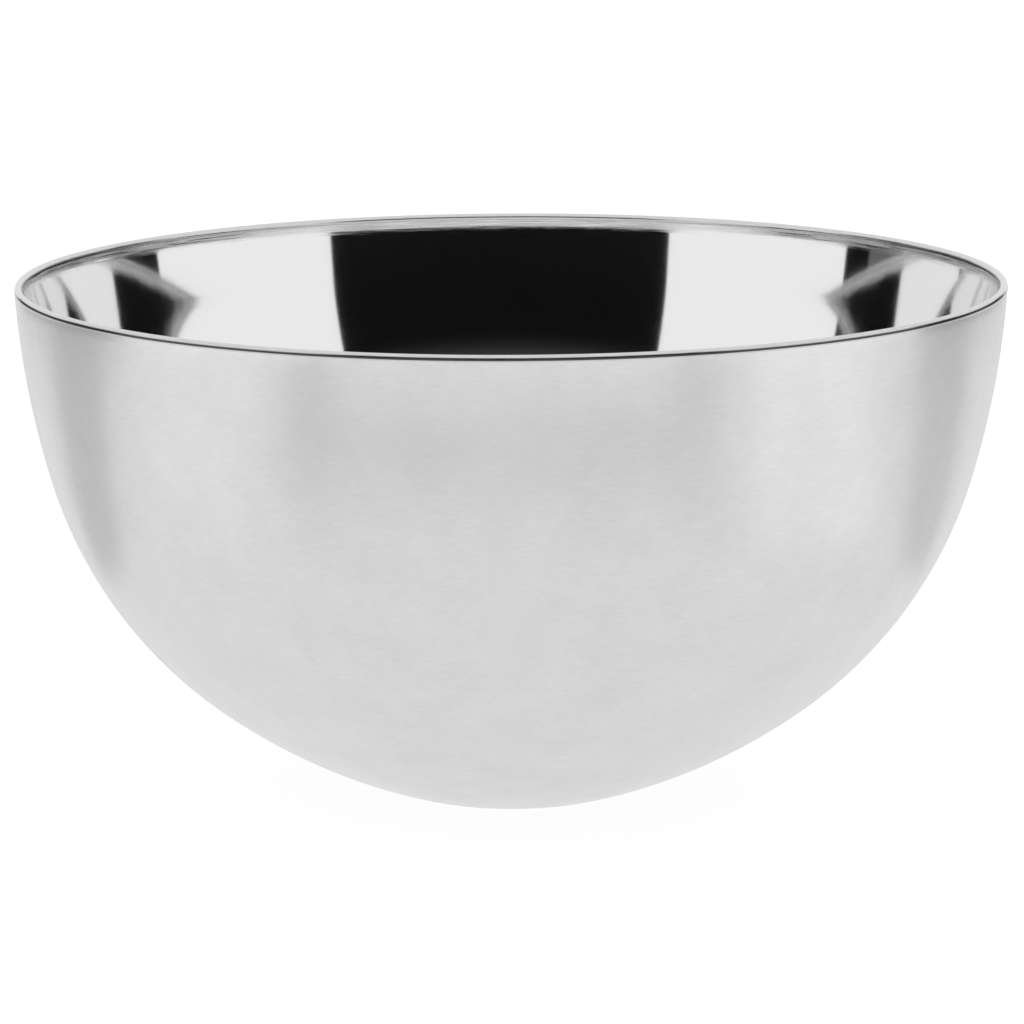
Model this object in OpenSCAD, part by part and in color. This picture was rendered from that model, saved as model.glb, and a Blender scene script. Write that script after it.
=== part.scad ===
// Double-walled steel bowl. The outer shell and the inner bowl are pressed from sheet,
// meet at a straight lip and are closed there by an edge weld ground to a round bead.
// The origin is on the ground at the centre of the base, with +Z up through the mouth.
// Each wall is a chain of arcs that run smoothly into each other, and the inner bowl's has a
// straight near the top. They are drawn as a section with x as the distance from the axis and
// y as the height.

/* [Size] */
// Diameter over the round bead of the rim
rim_d = 120; // [118:1:124]
// Thickness of each pressed sheet
sheet_t = 0.4; // [0.3:0.1:0.6]
// Height of the straight lip where the two sheets lie together
lip_h = 0.4; // [0.4:0.1:1.2]

/* [Outer shell] */
// Radius of the bend between the lip and the wall, on the outside face
lip_bend_r = 9.375; // [9.375:3.125:15.625]
// Radius of the upper wall
upper_r = 106.25; // [103.125:3.125:109.375]
// Radius of the shoulder, where the wall turns under
shoulder_r = 52.8; // [51:0.2:53.6]
// Radius of the underside
underside_r = 73; // [70:0.5:75]
// Radius of the edge round the flat base
base_edge_r = 4; // [2:0.5:5]

/* [Inner bowl] */
// Radius of the bend between the lip and the wall, on the inside face
inner_bend_r = 3.4; // [1.7:0.85:5.1]
// Length of the straight part of the wall, below the bend
inner_straight_l = 6.8; // [5.1:0.85:8.5]
// Radius of the upper wall, below the straight part, on the inside face
inner_upper_r = 76.5; // [68:4.25:85]
// Radius of the lower wall, on the inside face
inner_lower_r = 52; // [48:1:56]

/* [Vent] */
// Radius of the dimple pressed into the base, where it leaves the base
dimple_r = 7; // [6:0.5:8]
// Radius of the bend at the foot of the dimple, on the lower face
dimple_foot_r = 1.5; // [1.25:0.25:1.75]
// Radius of the bend at the roof of the dimple, on the lower face
dimple_roof_r = 1; // [0.75:0.25:1.25]
// Radius of the vent hole
vent_r = 1.05; // [0.9:0.05:1.2]
// Radius of the plug's head
plug_head_r = 2.5; // [2:0.25:3]
// Thickness of the plug's head
plug_head_t = 0.5; // [0.4:0.05:0.6]
// Leg of the weld round the plug's head
plug_weld_leg = 0.4; // [0.2:0.05:0.4]

/* [Hidden] */
$fn = 180;

// Unit directions from an arc's centre out to the wall, from level round to straight down.
// Each is a side pair of a whole-number right triangle, so neighbouring arcs meet exactly.
LEVEL = [1, 0];
DIP_4 = [0.99712, -0.07584];
DIP_9 = [84, -13] / 85;
DIP_16 = [0.96, -0.28];
DIP_53 = [0.6, -0.8];
DIP_74 = [0.28, -0.96];
DOWN = [0, -1];
UP = [0, 1];
DIMPLE_TURN = [0.8, 0.6];
OUTER_TURNS = [LEVEL, DIP_4, DIP_16, DIP_53, DIP_74, DOWN];
BEND_TURNS = [LEVEL, DIP_9];
INNER_TURNS = [DIP_9, DIP_16, DIP_53, DOWN];
// Longer than any wall radius, to cut a ring down to one arc
WEDGE = 212.5;

// How far a chain of arcs goes, as a vector from its start to its end
function chain_run(radii, turns, i = 0) =
    i == len(radii) ? [0, 0] : radii[i] * (turns[i + 1] - turns[i]) + chain_run(radii, turns, i + 1);

// Centre of arc i in a chain that begins at start
function arc_centre(start, radii, turns, i) =
    i == 0
        ? start - radii[0] * turns[0]
        : arc_centre(start, radii, turns, i - 1) + (radii[i - 1] - radii[i]) * turns[i];

// The bead is a circle whose chord spans both sheets: 5 to 4 for its radius, 3 to 4 for the
// height of its centre above the chord
bead_r = sheet_t * 5 / 4;
bead_rise = sheet_t * 3 / 4;
bead_centre_r = rim_d / 2 - bead_r;
wall_r = bead_centre_r + sheet_t;
mouth_r = bead_centre_r - sheet_t;

outer_radii = [lip_bend_r, upper_r, shoulder_r, underside_r, base_edge_r];
outer_run = chain_run(outer_radii, OUTER_TURNS);
lip_foot_z = -outer_run.y;
lip_top_z = lip_foot_z + lip_h;
flat_r = wall_r + outer_run.x;
outer_start = [wall_r, lip_foot_z];

// The inner sheet is a hair thinner, which keeps both ends of its straight at round numbers
inner_t = sheet_t - 0.0005;
bend_start = [mouth_r, lip_foot_z];
straight_top = bend_start + chain_run([inner_bend_r], BEND_TURNS);
straight_foot = straight_top + inner_straight_l * [DIP_9.y, -DIP_9.x];
// The inner bowl's bottom arc is as large as brings its centre onto the axis
inner_wall_radii = [inner_upper_r, inner_lower_r];
inner_wall_run = chain_run(inner_wall_radii, INNER_TURNS);
inner_bottom_r = (straight_foot.x + inner_wall_run.x) / DIP_53.x;
inner_radii = concat(inner_wall_radii, inner_bottom_r);

// The dimple's wall turns up and back level again through the same angle
dimple_z = (dimple_foot_r + dimple_roof_r) * (1 - DIMPLE_TURN.y);
dimple_flat_r = dimple_r - (dimple_foot_r + dimple_roof_r) * DIMPLE_TURN.x;
vent_play = 0.05;
plug_stem_r = vent_r - vent_play;
// How far the plug's stem stands out of the sheet, inside the cavity
plug_stem_out = 0.2;
plug_chamfer = 0.1;

// The stretch of sheet between two radii about a centre, from direction a round to b
module bent_sheet(centre, r_small, r_large, a, b) {
    translate(centre)
        intersection() {
            difference() {
                circle(r_large);
                circle(r_small);
            }
            polygon([[0, 0], WEDGE * a, WEDGE * b]);
        }
}

// A chain of bends. The sheet reaches from inside to outside of each radius.
module pressed_wall(start, radii, turns, inside, outside) {
    for (i = [0 : len(radii) - 1])
        bent_sheet(
            arc_centre(start, radii, turns, i),
            radii[i] - inside,
            radii[i] + outside,
            turns[i],
            turns[i + 1]
        );
}

// The straight lip of a pressing, from radius r outwards by thickness t
module lip(r, t) {
    translate([r, lip_foot_z])
        square([t, lip_h]);
}

// A straight stretch of sheet between two points of its inside face, square to a direction
module straight_sheet(top, foot, square_to, t) {
    polygon([top, foot, foot + t * square_to, top + t * square_to]);
}

// A level stretch of sheet with its lower face at height z
module level_sheet(r_small, r_large, z) {
    translate([r_small, z])
        square([r_large - r_small, sheet_t]);
}

// The dimple in the base: up from the flat, then level again as a roof round the vent
module dimple() {
    bent_sheet(
        [dimple_r, dimple_foot_r],
        dimple_foot_r - sheet_t,
        dimple_foot_r,
        DOWN,
        -DIMPLE_TURN
    );
    bent_sheet(
        [dimple_flat_r, dimple_z - dimple_roof_r],
        dimple_roof_r,
        dimple_roof_r + sheet_t,
        DIMPLE_TURN,
        UP
    );
    level_sheet(vent_r, dimple_flat_r, dimple_z);
}

// Brushed outer pressing, with the flat it stands on and the vent dimple
module outer_shell() {
    color("silver")
        rotate_extrude() {
            lip(wall_r - sheet_t, sheet_t);
            pressed_wall(outer_start, outer_radii, OUTER_TURNS, sheet_t, 0);
            level_sheet(dimple_r, flat_r, 0);
            dimple();
        }
}

// Mirror-polished inner pressing, with a dished bottom
module inner_bowl() {
    color("gainsboro")
        rotate_extrude() {
            lip(mouth_r, inner_t);
            pressed_wall(bend_start, [inner_bend_r], BEND_TURNS, 0, inner_t);
            straight_sheet(straight_top, straight_foot, DIP_9, inner_t);
            pressed_wall(straight_foot, inner_radii, INNER_TURNS, 0, inner_t);
        }
}

// Edge weld that joins the two lips, ground and polished round
module rim_bead() {
    color("whitesmoke")
        rotate_extrude()
            intersection() {
                translate([bead_centre_r, lip_top_z + bead_rise])
                    circle(bead_r);
                translate([mouth_r - sheet_t, lip_top_z])
                    square([4 * sheet_t, 3 * sheet_t]);
            }
}

// Steel plug that closes the vent, with its stem through the sheet
module vent_plug() {
    head_z = dimple_z - plug_head_t;
    color("darkgray")
        rotate_extrude()
            polygon([
                [0, head_z],
                [plug_head_r - plug_chamfer, head_z],
                [plug_head_r, head_z + plug_chamfer],
                [plug_head_r, dimple_z],
                [plug_stem_r, dimple_z],
                [plug_stem_r, dimple_z + sheet_t + plug_stem_out],
                [0, dimple_z + sheet_t + plug_stem_out],
            ]);
}

// Round weld in the corner between the plug's head and the dimple's roof
module plug_weld() {
    color("gray")
        rotate_extrude()
            translate([plug_head_r, dimple_z])
                intersection() {
                    circle(plug_weld_leg);
                    translate([0, -plug_weld_leg])
                        square(plug_weld_leg);
                }
}

outer_shell();
inner_bowl();
rim_bead();
vent_plug();
plug_weld();
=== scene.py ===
"""The looks of the shaving bowl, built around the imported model: lathe-turned pieces with the same
sections as the CAD nodes, their steel finishes, and a white studio with a dark side at the camera.
Lengths are in millimetres until turned() makes a mesh in metres. Those of the finishes, the studio
and the camera are in metres. +Z is up, and the camera looks along +Y."""

import math

import bpy
from mathutils import Matrix


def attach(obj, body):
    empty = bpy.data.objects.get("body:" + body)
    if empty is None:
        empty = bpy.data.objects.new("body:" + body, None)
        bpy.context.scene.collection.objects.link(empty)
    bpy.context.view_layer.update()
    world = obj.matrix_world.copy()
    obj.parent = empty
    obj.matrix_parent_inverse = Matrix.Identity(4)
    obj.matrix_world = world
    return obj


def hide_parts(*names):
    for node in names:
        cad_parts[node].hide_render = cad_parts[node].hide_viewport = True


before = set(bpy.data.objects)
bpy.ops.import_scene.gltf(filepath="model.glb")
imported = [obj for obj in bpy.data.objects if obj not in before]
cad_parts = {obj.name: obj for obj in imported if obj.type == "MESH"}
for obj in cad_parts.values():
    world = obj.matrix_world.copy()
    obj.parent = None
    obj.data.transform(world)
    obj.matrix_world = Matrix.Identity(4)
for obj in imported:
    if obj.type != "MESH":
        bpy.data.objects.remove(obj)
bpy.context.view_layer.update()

MM = 0.001
# Points nearer than this, in millimetres, are the same point
SAME = 1e-6
# Edges that bend by more than this stay sharp
SHARP = math.radians(35)

# ---------------------------------------------------------------- the bowl's dimensions

SHEET = 0.4
LIP_H = 0.4
RIM_R = 60.0
BEAD_R = SHEET * 5 / 4
BEAD_RISE = SHEET * 3 / 4
BEAD_CENTRE_R = RIM_R - BEAD_R
WALL_R = BEAD_CENTRE_R + SHEET
MOUTH_R = BEAD_CENTRE_R - SHEET

# Unit directions from an arc's centre out to the wall: (across, up)
LEVEL = (1.0, 0.0)
DIP_4 = (0.99712, -0.07584)
DIP_9 = (84 / 85, -13 / 85)
DIP_16 = (0.96, -0.28)
DIP_53 = (0.6, -0.8)
DIP_74 = (0.28, -0.96)
DOWN = (0.0, -1.0)
UP = (0.0, 1.0)
OUTER_TURNS = [LEVEL, DIP_4, DIP_16, DIP_53, DIP_74, DOWN]
OUTER_RADII = [9.375, 106.25, 52.8, 73.0, 4.0]
INNER_T = SHEET - 0.0005
INNER_BEND_R = 3.4
INNER_STRAIGHT_L = 6.8
BEND_TURNS = [LEVEL, DIP_9]
INNER_TURNS = [DIP_9, DIP_16, DIP_53, DOWN]
INNER_WALL_RADII = [76.5, 52.0]

DIMPLE_R = 7.0
DIMPLE_FOOT_R = 1.5
DIMPLE_ROOF_R = 1.0
DIMPLE_TURN = (0.8, 0.6)
DIMPLE_Z = (DIMPLE_FOOT_R + DIMPLE_ROOF_R) * (1 - DIMPLE_TURN[1])
DIMPLE_FLAT_R = DIMPLE_R - (DIMPLE_FOOT_R + DIMPLE_ROOF_R) * DIMPLE_TURN[0]
VENT_R = 1.05
PLUG_HEAD_R = 2.5
PLUG_HEAD_T = 0.5
PLUG_CHAMFER = 0.1
PLUG_STEM_R = 1.0
PLUG_STEM_OUT = 0.2
PLUG_WELD_LEG = 0.4

# Lengths of one mesh step along a section: on faces that show, in small bends, on hidden faces
FINE = 1.0
TINY = 0.08
COARSE = 3.0
# Faces round the axis
SEGMENTS = 256
SMALL_SEGMENTS = 96
BEAD_STEPS = 40


def chain_run(radii, turns):
    """How far a chain of arcs goes, as (across, up): each arc runs from one turn to the next."""
    return tuple(
        sum(r * (after[k] - before[k]) for r, before, after in zip(radii, turns, turns[1:]))
        for k in (0, 1)
    )


LIP_FOOT_Z = -chain_run(OUTER_RADII, OUTER_TURNS)[1]
LIP_TOP_Z = LIP_FOOT_Z + LIP_H
BEND_RUN = chain_run([INNER_BEND_R], BEND_TURNS)
STRAIGHT_FOOT = (
    MOUTH_R + BEND_RUN[0] + INNER_STRAIGHT_L * DIP_9[1],
    LIP_FOOT_Z + BEND_RUN[1] - INNER_STRAIGHT_L * DIP_9[0],
)
INNER_BOTTOM_R = (STRAIGHT_FOOT[0] + chain_run(INNER_WALL_RADII, INNER_TURNS)[0]) / DIP_53[0]
INNER_RADII = INNER_WALL_RADII + [INNER_BOTTOM_R]


def arc(centre, radius, start, end, step):
    """Points along an arc from direction start to direction end."""
    first = math.atan2(start[1], start[0])
    last = math.atan2(end[1], end[0])
    count = max(2, math.ceil(abs(last - first) * radius / step))
    angles = [first + (last - first) * i / count for i in range(count + 1)]
    return [(centre[0] + radius * math.cos(a), centre[1] + radius * math.sin(a)) for a in angles]


def wall(start, radii, turns, grow, step):
    """One face of a pressing: a chain of arcs that begins level with start, each radius grown."""
    points = []
    centre = (start[0] - radii[0] * turns[0][0], start[1] - radii[0] * turns[0][1])
    for i, radius in enumerate(radii):
        if i:
            back = radii[i - 1] - radius
            centre = (centre[0] + back * turns[i][0], centre[1] + back * turns[i][1])
        points += arc(centre, radius + grow, turns[i], turns[i + 1], min(step, radius / 8))
    return points


def without_repeats(points):
    """The points with each one that repeats the one before it left out."""
    kept = []
    for p in points:
        if not kept or math.dist(p, kept[-1]) > SAME:
            kept.append(p)
    if math.dist(kept[0], kept[-1]) < SAME:
        kept.pop()
    return kept


def turned(name, outline, segments=SEGMENTS):
    """A piece turned round the axis from a closed outline of (radius, height) points. The float
    attribute "along" is the way round the outline from its first point, in metres."""
    outline = without_repeats(outline)
    along = [0.0]
    for p, q in zip(outline, outline[1:]):
        along.append(along[-1] + math.dist(p, q) * MM)
    verts, marks, rings = [], [], []
    for (r, z), mark in zip(outline, along):
        count = segments if r > SAME else 1
        rings.append([len(verts) + k for k in range(count)])
        for k in range(count):
            angle = 2 * math.pi * k / segments
            verts.append((r * math.cos(angle) * MM, r * math.sin(angle) * MM, z * MM))
            marks.append(mark)
    faces = []
    for a, b in zip(rings, rings[1:] + rings[:1]):
        if len(a) == 1 and len(b) == 1:
            continue
        for k in range(segments):
            n = (k + 1) % segments
            corners = [a[k % len(a)], a[n % len(a)], b[n % len(b)], b[k % len(b)]]
            faces.append(list(dict.fromkeys(corners)))
    mesh = bpy.data.meshes.new(name)
    mesh.from_pydata(verts, [], faces)
    mesh.attributes.new("along", "FLOAT", "POINT").data.foreach_set("value", marks)
    mesh.polygons.foreach_set("use_smooth", [True] * len(mesh.polygons))
    mesh.set_sharp_from_angle(angle=SHARP)
    piece = bpy.data.objects.new(name, mesh)
    bpy.context.scene.collection.objects.link(piece)
    return piece


# ---------------------------------------------------------------- shader helpers

QUARTER_TURN = 0.25
# Most of a noise lies between these two
NOISE_LOW = 0.3
NOISE_HIGH = 0.7


def principled(tree):
    """The tree's Principled shader."""
    return next(n for n in tree.nodes if n.type == "BSDF_PRINCIPLED")


def new_material(name):
    """A material with nodes: returns it, its tree and its Principled shader."""
    material = bpy.data.materials.new(name)
    material.use_nodes = True
    return material, material.node_tree, principled(material.node_tree)


def link(tree, source, target):
    """Joins two sockets, or sets the target to a plain value."""
    if isinstance(source, bpy.types.NodeSocket):
        tree.links.new(source, target)
    else:
        target.default_value = source


def maths(tree, operation, *values):
    """A Math node's result."""
    node = tree.nodes.new("ShaderNodeMath")
    node.operation = operation
    for value, socket in zip(values, node.inputs):
        link(tree, value, socket)
    return node.outputs[0]


def weighted(tree, first, share, second):
    """This share of the first value, and the rest of the second."""
    kept = maths(tree, "MULTIPLY", first, share)
    return maths(tree, "ADD", kept, maths(tree, "MULTIPLY", second, 1 - share))


def ranged(tree, value, low, high, to_low, to_high):
    """The value moved from one range to another, and held at the ends."""
    node = tree.nodes.new("ShaderNodeMapRange")
    for number, socket in zip((value, low, high, to_low, to_high), node.inputs):
        link(tree, number, socket)
    return node.outputs[0]


def noise(tree, vector, scale, detail=2.0, rough=0.5):
    """A noise between 0 and 1, with this many cells to a unit of the vector."""
    node = tree.nodes.new("ShaderNodeTexNoise")
    link(tree, vector, node.inputs["Vector"])
    node.inputs["Scale"].default_value = scale
    node.inputs["Detail"].default_value = detail
    node.inputs["Roughness"].default_value = rough
    return node.outputs["Fac"]


def round_axis(tree, streak, along_scale):
    """A vector that runs round the axis: streak cells to a radian, and along_scale cells to a metre
    along the section, so that a noise in it makes lines round the bowl with no seam."""
    place = tree.nodes.new("ShaderNodeTexCoord").outputs["Object"]
    flat = tree.nodes.new("ShaderNodeVectorMath")
    flat.operation = "MULTIPLY"
    link(tree, place, flat.inputs[0])
    flat.inputs[1].default_value = (1, 1, 0)
    unit = tree.nodes.new("ShaderNodeVectorMath")
    unit.operation = "NORMALIZE"
    link(tree, flat.outputs[0], unit.inputs[0])
    parts = tree.nodes.new("ShaderNodeSeparateXYZ")
    link(tree, unit.outputs[0], parts.inputs[0])
    joined = tree.nodes.new("ShaderNodeCombineXYZ")
    link(tree, maths(tree, "MULTIPLY", parts.outputs[0], streak), joined.inputs[0])
    link(tree, maths(tree, "MULTIPLY", parts.outputs[1], streak), joined.inputs[1])
    link(tree, maths(tree, "MULTIPLY", along_section(tree), along_scale), joined.inputs[2])
    return joined.outputs[0]


def along_section(tree):
    """The way round the section from its first point, in metres."""
    node = tree.nodes.new("ShaderNodeAttribute")
    node.attribute_name = "along"
    return node.outputs["Fac"]


def bump(tree, height, distance, strength=1.0):
    """A normal for a surface that rises by distance, in metres, where the height is 1."""
    node = tree.nodes.new("ShaderNodeBump")
    node.inputs["Strength"].default_value = strength
    node.inputs["Distance"].default_value = distance
    link(tree, height, node.inputs["Height"])
    return node.outputs[0]


def round_tangent(tree, shader):
    """Makes the anisotropy run round the axis."""
    shader.inputs["Anisotropic Rotation"].default_value = QUARTER_TURN
    tangent = tree.nodes.new("ShaderNodeTangent")
    tangent.direction_type = "RADIAL"
    tangent.axis = "Z"
    link(tree, tangent.outputs[0], shader.inputs["Tangent"])


def spread(tree, value, to_low, to_high):
    """A noise stretched to this range."""
    return ranged(tree, value, NOISE_LOW, NOISE_HIGH, to_low, to_high)


def tinted(tree, factor, dark, light):
    """A grey between dark and light."""
    node = tree.nodes.new("ShaderNodeMix")
    node.data_type = "RGBA"
    link(tree, factor, node.inputs["Factor"])
    node.inputs["A"].default_value = (dark, dark, dark, 1)
    node.inputs["B"].default_value = (light, light, light, 1)
    return node.outputs["Result"]


def brushed_steel():
    """Bare stainless steel, finely brushed round the axis."""
    material, tree, shader = new_material("brushed_shell")
    fine = noise(tree, round_axis(tree, 54, 9000), 1.0, detail=3)
    lines = noise(tree, round_axis(tree, 38, 2600), 1.0, detail=2)
    place = tree.nodes.new("ShaderNodeTexCoord").outputs["Object"]
    clouds = noise(tree, place, 160, detail=4, rough=0.6)
    brushing = weighted(tree, fine, 0.5, lines)
    shade = weighted(tree, brushing, 0.6, clouds)
    link(tree, tinted(tree, spread(tree, shade, 0, 1), 0.73, 0.83), shader.inputs["Base Color"])
    link(tree, spread(tree, shade, 0.31, 0.27), shader.inputs["Roughness"])
    shader.inputs["Metallic"].default_value = 1
    shader.inputs["Anisotropic"].default_value = 0.6
    round_tangent(tree, shader)
    link(tree, bump(tree, brushing, 0.00001, 0.5), shader.inputs["Normal"])
    return material


# Along the mirror face, from the top of its lip: where the satin begins and ends to fade out
SATIN_FADE = (0.0008, 0.002)
SATIN_ROUGHNESS = 0.5
# The satin ends up to this much sooner in places, in fine lines
SATIN_REACH = 0.0009


def mirror_steel():
    """Bare stainless steel, polished to a mirror, with the faintest waves and wiping marks. The lip
    and the bend below it are satin with scratches, fading into the mirror."""
    material, tree, shader = new_material("polished_bowl")
    place = tree.nodes.new("ShaderNodeTexCoord").outputs["Object"]
    wiping = noise(tree, round_axis(tree, 5, 700), 1.0, detail=4)
    smears = noise(tree, place, 60, detail=3)
    link(tree, tinted(tree, smears, 0.895, 0.905), shader.inputs["Base Color"])
    marks = maths(tree, "MULTIPLY", wiping, smears)
    polish = ranged(tree, marks, 0.1, 0.45, 0.045, 0.06)
    ragged = noise(tree, round_axis(tree, 14, 16000), 1.0, detail=2)
    depth = maths(tree, "MULTIPLY_ADD", ragged, SATIN_REACH, along_section(tree))
    fade = ranged(tree, depth, *SATIN_FADE, SATIN_ROUGHNESS, 0.0)
    scratches = noise(tree, round_axis(tree, 9, 9000), 1.0, detail=2)
    satin = maths(tree, "MULTIPLY", fade, ranged(tree, scratches, 0.35, 0.65, 0.3, 1.0))
    link(tree, maths(tree, "MAXIMUM", polish, satin), shader.inputs["Roughness"])
    shader.inputs["Metallic"].default_value = 1
    link(tree, ranged(tree, satin, 0.1, 0.3, 0.0, 0.9), shader.inputs["Anisotropic"])
    round_tangent(tree, shader)
    waves = noise(tree, place, 18, detail=0)
    link(tree, bump(tree, waves, 0.00002), shader.inputs["Normal"])
    return material


# Along the bead's section, from its foot on the outside: where the painted dark line (a painted
# reflection) fades in and out
PAINTED_LINE_IN = (0.00014, 0.00024)
PAINTED_LINE_OUT = (0.0004, 0.00054)
PAINTED_LINE_DARKNESS = 0.1


def polished_weld():
    """Weld metal ground round and polished, softer than the mirror, with a painted reflection: a
    dark line painted into its colour all round its outer side."""
    material, tree, shader = new_material("polished_weld")
    lines = noise(tree, round_axis(tree, 30, 9000), 1.0, detail=2)
    polished = spread(tree, lines, 0.64, 0.74)
    along = along_section(tree)
    # Painted reflection: the weld's colour goes dark in a line round the bead's outer side
    above = ranged(tree, along, *PAINTED_LINE_OUT, PAINTED_LINE_DARKNESS, 1.0)
    below = ranged(tree, along, *PAINTED_LINE_IN, 1.0, PAINTED_LINE_DARKNESS)
    # The weld's own random tone, darkened along the painted reflection line
    shade = maths(tree, "MULTIPLY", polished, maths(tree, "MAXIMUM", above, below))
    link(tree, tinted(tree, shade, 0.0, 1.0), shader.inputs["Base Color"])
    link(tree, spread(tree, lines, 0.16, 0.22), shader.inputs["Roughness"])
    shader.inputs["Metallic"].default_value = 1
    link(tree, bump(tree, lines, 0.000004), shader.inputs["Normal"])
    return material


def satin_steel():
    """The plug's steel, turned in a lathe."""
    material, tree, shader = new_material("plug_steel")
    rings = noise(tree, round_axis(tree, 2, 12000), 1.0, detail=2)
    link(tree, tinted(tree, rings, 0.5, 0.58), shader.inputs["Base Color"])
    link(tree, spread(tree, rings, 0.3, 0.42), shader.inputs["Roughness"])
    shader.inputs["Metallic"].default_value = 1
    link(tree, bump(tree, rings, 0.00001), shader.inputs["Normal"])
    return material


def welded_steel():
    """Weld metal as it froze, dull and grey."""
    material, tree, shader = new_material("weld_steel")
    place = tree.nodes.new("ShaderNodeTexCoord").outputs["Object"]
    grain = noise(tree, place, 4000, detail=3)
    link(tree, tinted(tree, grain, 0.38, 0.5), shader.inputs["Base Color"])
    link(tree, spread(tree, grain, 0.4, 0.55), shader.inputs["Roughness"])
    shader.inputs["Metallic"].default_value = 1
    link(tree, bump(tree, grain, 0.00002), shader.inputs["Normal"])
    return material


# ---------------------------------------------------------------- the pieces


def outer_shell():
    """The outer pressing: down the outside, under the base and the dimple, and back up inside."""
    start = (WALL_R, LIP_FOOT_Z)
    foot = (DIMPLE_R, DIMPLE_FOOT_R)
    roof = (DIMPLE_FLAT_R, DIMPLE_Z - DIMPLE_ROOF_R)
    turn_back = (-DIMPLE_TURN[0], -DIMPLE_TURN[1])
    outside = [(WALL_R, LIP_TOP_Z)] + wall(start, OUTER_RADII, OUTER_TURNS, 0, FINE)
    outside += arc(foot, DIMPLE_FOOT_R, DOWN, turn_back, TINY * 2)
    outside += arc(roof, DIMPLE_ROOF_R, DIMPLE_TURN, UP, TINY * 2)
    outside += [(VENT_R, DIMPLE_Z)]
    inside = [(WALL_R - SHEET, LIP_TOP_Z)] + wall(start, OUTER_RADII, OUTER_TURNS, -SHEET, COARSE)
    inside += arc(foot, DIMPLE_FOOT_R - SHEET, DOWN, turn_back, TINY * 4)
    inside += arc(roof, DIMPLE_ROOF_R + SHEET, DIMPLE_TURN, UP, TINY * 4)
    inside += [(VENT_R, DIMPLE_Z + SHEET)]
    return turned("shell_outside", outside + inside[::-1])


def inner_face(grow, step):
    """One face of the inner pressing, from the foot of its lip to the axis."""
    bend = wall((MOUTH_R, LIP_FOOT_Z), [INNER_BEND_R], BEND_TURNS, grow, step)
    points = bend + wall(STRAIGHT_FOOT, INNER_RADII, INNER_TURNS, grow, step)
    points[-1] = (0.0, points[-1][1])
    return points


def inner_bowl():
    """The inner pressing: down the mirror face to the axis, and back up the hidden face."""
    mirror = [(MOUTH_R, LIP_TOP_Z)] + inner_face(0, FINE)
    hidden = [(MOUTH_R + INNER_T, LIP_TOP_Z)] + inner_face(INNER_T, COARSE)
    return turned("bowl_inside", mirror + hidden[::-1])


def rim_bead():
    """The weld's round bead, cut off level where it meets the two sheets."""
    centre = (BEAD_CENTRE_R, LIP_TOP_Z + BEAD_RISE)
    low = math.asin(BEAD_RISE / BEAD_R)
    sweep = math.pi + 2 * low
    angles = [-low + sweep * i / BEAD_STEPS for i in range(BEAD_STEPS + 1)]
    points = [(centre[0] + BEAD_R * math.cos(a), centre[1] + BEAD_R * math.sin(a)) for a in angles]
    return turned("rim_weld_bead", points)


def vent_plug():
    """The plug: a chamfered head under the sheet and a stem through it."""
    head_z = DIMPLE_Z - PLUG_HEAD_T
    stem_z = DIMPLE_Z + SHEET + PLUG_STEM_OUT
    points = [
        (0.0, head_z),
        (PLUG_HEAD_R - PLUG_CHAMFER, head_z),
        (PLUG_HEAD_R, head_z + PLUG_CHAMFER),
        (PLUG_HEAD_R, DIMPLE_Z),
        (PLUG_STEM_R, DIMPLE_Z),
        (PLUG_STEM_R, stem_z),
        (0.0, stem_z),
    ]
    return turned("vent_plug_turned", points, SMALL_SEGMENTS)


def plug_weld():
    """The round weld in the corner between the plug's head and the dimple's roof."""
    points = [(PLUG_HEAD_R, DIMPLE_Z)]
    points += arc((PLUG_HEAD_R, DIMPLE_Z), PLUG_WELD_LEG, DOWN, LEVEL, TINY)
    return turned("plug_weld_bead", points, SMALL_SEGMENTS)


def place_pieces():
    """Makes each piece with its finish and puts it in its CAD node's stead."""
    rows = [
        (outer_shell(), "outer_shell", "brushed_shell", brushed_steel()),
        (inner_bowl(), "inner_bowl", "polished_bowl", mirror_steel()),
        (rim_bead(), "rim_bead", "polished_weld", polished_weld()),
        (vent_plug(), "vent_plug", "plug_steel", satin_steel()),
        (plug_weld(), "plug_weld", "weld_steel", welded_steel()),
    ]
    for piece, node, slot, material in rows:
        piece.data.materials.append(material)
        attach(piece, "root")
        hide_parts(node)


# ---------------------------------------------------------------- the studio

ROOM_LIGHT = 0.908
BLACK = 0.0052
GREY = 0.12
FLOOR_HALF = 12.0
FLOOR_GLOW = 0.87
FLOOR_PAINT = 0.2
# The table's sheen is a disc with a small hole under the bowl, and its patches lie just above it
SHEEN_GLOW = 0.84
SHEEN_Z = 0.0003
SHEEN_HOLE_R = 0.004
PATCH_Z = 0.0006
TABLE_R = 0.45
CARD_R = 0.5
# Steps round an arc, for a card, for a patch of the table and for the whole table
CARD_STEPS = 24
PATCH_STEPS = 16
TABLE_STEPS = 96

# Finishes of the cards: glow at the foot, and the heights between which it rises to the room's
CARD_FINISHES = {
    "camera_dark_card": (BLACK, 0.24, 0.66),
    "gap_card": (BLACK, 0.12, 0.3),
    "grey_gap_card": (GREY, 0.12, 0.3),
    "low_dark_card": (BLACK, 0.08, 0.16),
}
# Cards: name, azimuths in degrees from the camera's side, heights, finish
CARDS = [
    ("camera_side_dark", (-41.6, 47.6), (0.105, 0.66), "camera_dark_card"),
    ("gap_right", (100.6, 119), (0.0, 0.3), "gap_card"),
    ("gap_left", (-102.4, -94.3), (0.0, 0.3), "gap_card"),
    ("gap_left_grey", (-118, -102.4), (0.0, 0.3), "grey_gap_card"),
    ("low_dark_right", (119, 150), (0.0, 0.16), "low_dark_card"),
    ("low_dark_left", (-150, -118), (0.0, 0.16), "low_dark_card"),
]
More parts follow.
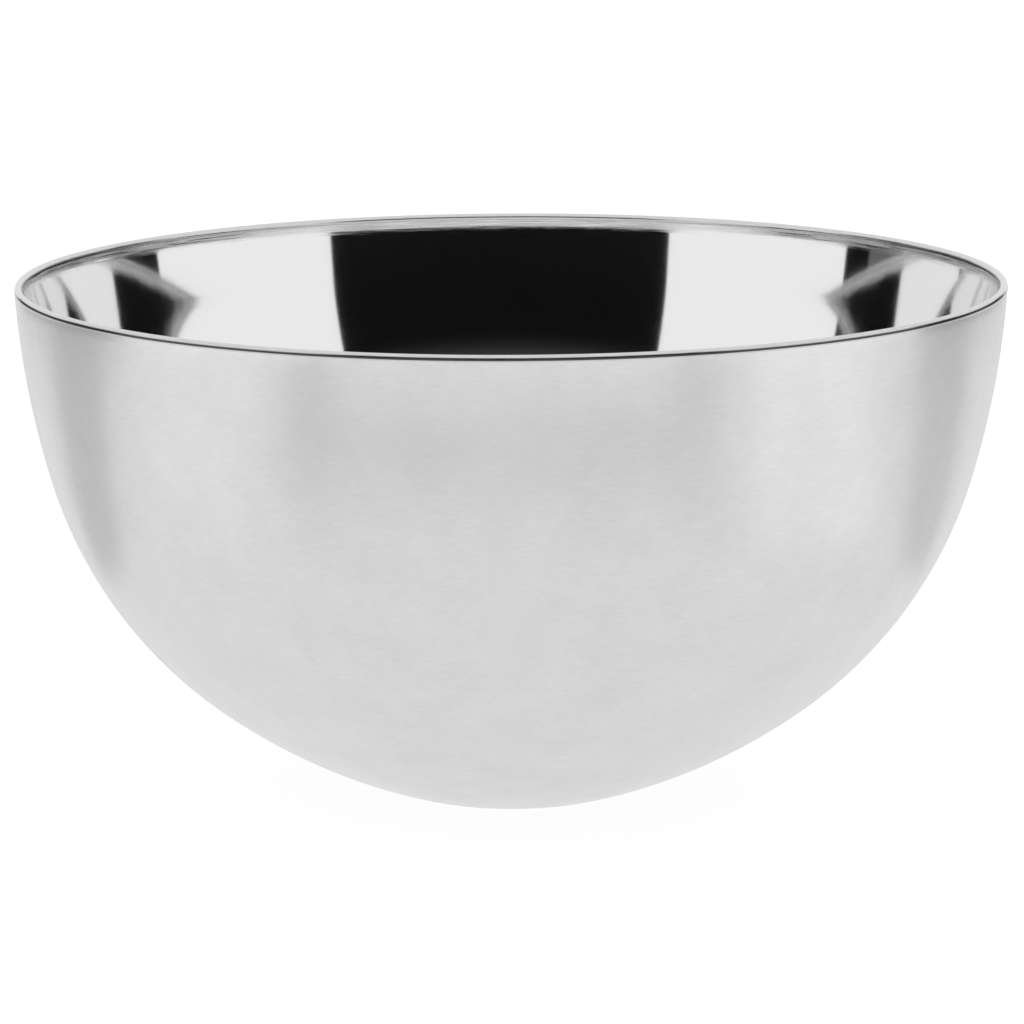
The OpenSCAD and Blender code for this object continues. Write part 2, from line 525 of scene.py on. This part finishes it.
# Patches of the table's sheen: name, azimuths, distances from the axis, glow
PATCHES = [
    ("table_front", (-38, 34), (0.14, 0.2), 0.58),
    ("table_front_far", (-38, 34), (0.205, TABLE_R), 1.0),
    ("table_left_strip", (-46, -37), (0.13, TABLE_R), 0.6),
    ("table_right_strip", (33, 42), (0.13, TABLE_R), 0.68),
    ("table_left_light", (-84, -55), (0.1, TABLE_R), 0.89),
    ("table_right_light", (50, 82), (0.1, TABLE_R), 0.95),
    ("table_left_dark", (-122, -98), (0.09, TABLE_R), 0.6),
    ("table_right_dark", (97, 121), (0.09, TABLE_R), 0.65),
]


def emitter(name, strength, paint=0.0):
    """A material that glows evenly, with some matt paint under the glow if paint is above 0."""
    material, tree, shader = new_material(name)
    shader.inputs["Base Color"].default_value = (paint, paint, paint, 1)
    shader.inputs["Roughness"].default_value = 1
    shader.inputs["Specular IOR Level"].default_value = 0
    shader.inputs["Emission Color"].default_value = (1, 1, 1, 1)
    shader.inputs["Emission Strength"].default_value = strength
    return material


def fading_emitter(name, strength, low, high):
    """A glow that rises from strength at one height to the room's at another, for a card with no
    hard top edge."""
    material = emitter(name, strength)
    tree = material.node_tree
    parts = tree.nodes.new("ShaderNodeSeparateXYZ")
    link(tree, tree.nodes.new("ShaderNodeTexCoord").outputs["Object"], parts.inputs[0])
    glow = ranged(tree, parts.outputs[2], low, high, strength, ROOM_LIGHT)
    glow.node.interpolation_type = "SMOOTHSTEP"
    link(tree, glow, principled(tree).inputs["Emission Strength"])
    return material


def stage_mesh(name, verts, faces, material, seen):
    """A part of the studio. One that isn't seen shows only in reflections."""
    mesh = bpy.data.meshes.new(name)
    mesh.from_pydata(verts, [], faces)
    mesh.materials.append(material)
    thing = bpy.data.objects.new(name, mesh)
    bpy.context.scene.collection.objects.link(thing)
    if not seen:
        thing.visible_camera = False
        thing.visible_diffuse = False
        thing.visible_shadow = False


def floor():
    """A broad white surface that glows like a light table, so that only a faint shadow is left."""
    half = FLOOR_HALF
    corners = [(-half, -half, 0), (half, -half, 0), (half, half, 0), (-half, half, 0)]
    white = emitter("floor_white", FLOOR_GLOW, FLOOR_PAINT)
    stage_mesh("floor", corners, [(0, 1, 2, 3)], white, True)


def arc_strip(azimuths, count):
    """The (across, along) directions at count + 1 azimuths from the camera's side, and the faces of
    a strip with two points for each."""
    low, high = (math.radians(a) for a in azimuths)
    angles = [low + (high - low) * i / count for i in range(count + 1)]
    faces = [(2 * i, 2 * i + 2, 2 * i + 3, 2 * i + 1) for i in range(count)]
    return [(math.sin(a), -math.cos(a)) for a in angles], faces


def curved_card(name, azimuths, heights, material):
    """A card that stands on an arc about the axis, between two azimuths and two heights."""
    ways, faces = arc_strip(azimuths, CARD_STEPS)
    verts = [(CARD_R * x, CARD_R * y, z) for x, y in ways for z in heights]
    stage_mesh(name, verts, faces, material, False)


def table_sheen():
    """What the bowl's outside reflects of the table."""
    count = TABLE_STEPS
    angles = [2 * math.pi * i / count for i in range(count)]
    verts = [
        (radius * math.cos(a), radius * math.sin(a), SHEEN_Z)
        for radius in (SHEEN_HOLE_R, TABLE_R)
        for a in angles
    ]
    faces = [(i, (i + 1) % count, count + (i + 1) % count, count + i) for i in range(count)]
    stage_mesh("table_sheen", verts, faces, emitter("table_sheen", SHEEN_GLOW), False)


def table_sector(name, azimuths, distances, glow):
    """A lighter or darker patch of the table's sheen, between two azimuths and two distances."""
    ways, faces = arc_strip(azimuths, PATCH_STEPS)
    verts = [(d * x, d * y, PATCH_Z) for x, y in ways for d in distances]
    stage_mesh(name, verts, faces, emitter(name, glow), False)


def studio():
    """White all round, a dark screen at the camera's side, a dark gap on each side with a low dark
    card behind it, and the lighter and darker patches of the table."""
    world = bpy.data.worlds.new("studio")
    bpy.context.scene.world = world
    world.use_nodes = True
    background = world.node_tree.nodes["Background"]
    background.inputs["Color"].default_value = (1, 1, 1, 1)
    background.inputs["Strength"].default_value = ROOM_LIGHT
    floor()
    finishes = {name: fading_emitter(name, *rise) for name, rise in CARD_FINISHES.items()}
    table_sheen()
    for name, azimuths, heights, finish in CARDS:
        curved_card(name, azimuths, heights, finishes[finish])
    for patch in PATCHES:
        table_sector(*patch)


# ---------------------------------------------------------------- the camera

CAMERA_DISTANCE = 0.72
CAMERA_ELEVATION = math.radians(10.488)
CAMERA_ROLL = math.radians(-0.245)
CAMERA_LENS = 207.502
SENSOR_WIDTH = 36
CAMERA_RANGE = (0.01, 50)
AIM_HEIGHT = 0.034133


def camera():
    """A long lens a little above the rim, aimed just above the middle of the bowl."""
    data = bpy.data.cameras.new("camera")
    data.sensor_width = SENSOR_WIDTH
    data.lens = CAMERA_LENS
    data.clip_start, data.clip_end = CAMERA_RANGE
    eye = bpy.data.objects.new("camera", data)
    bpy.context.scene.collection.objects.link(eye)
    eye.location = (
        0,
        -CAMERA_DISTANCE * math.cos(CAMERA_ELEVATION),
        AIM_HEIGHT + CAMERA_DISTANCE * math.sin(CAMERA_ELEVATION),
    )
    tilt = Matrix.Rotation(math.pi / 2 - CAMERA_ELEVATION, 3, "X")
    eye.rotation_euler = (tilt @ Matrix.Rotation(CAMERA_ROLL, 3, "Z")).to_euler()
    bpy.context.scene.camera = eye


camera()
studio()
place_pieces()
bpy.context.scene.view_settings.view_transform = "Standard"
# Light goes round the inside's mirror wall many times near its ends
bpy.context.scene.cycles.glossy_bounces = 12
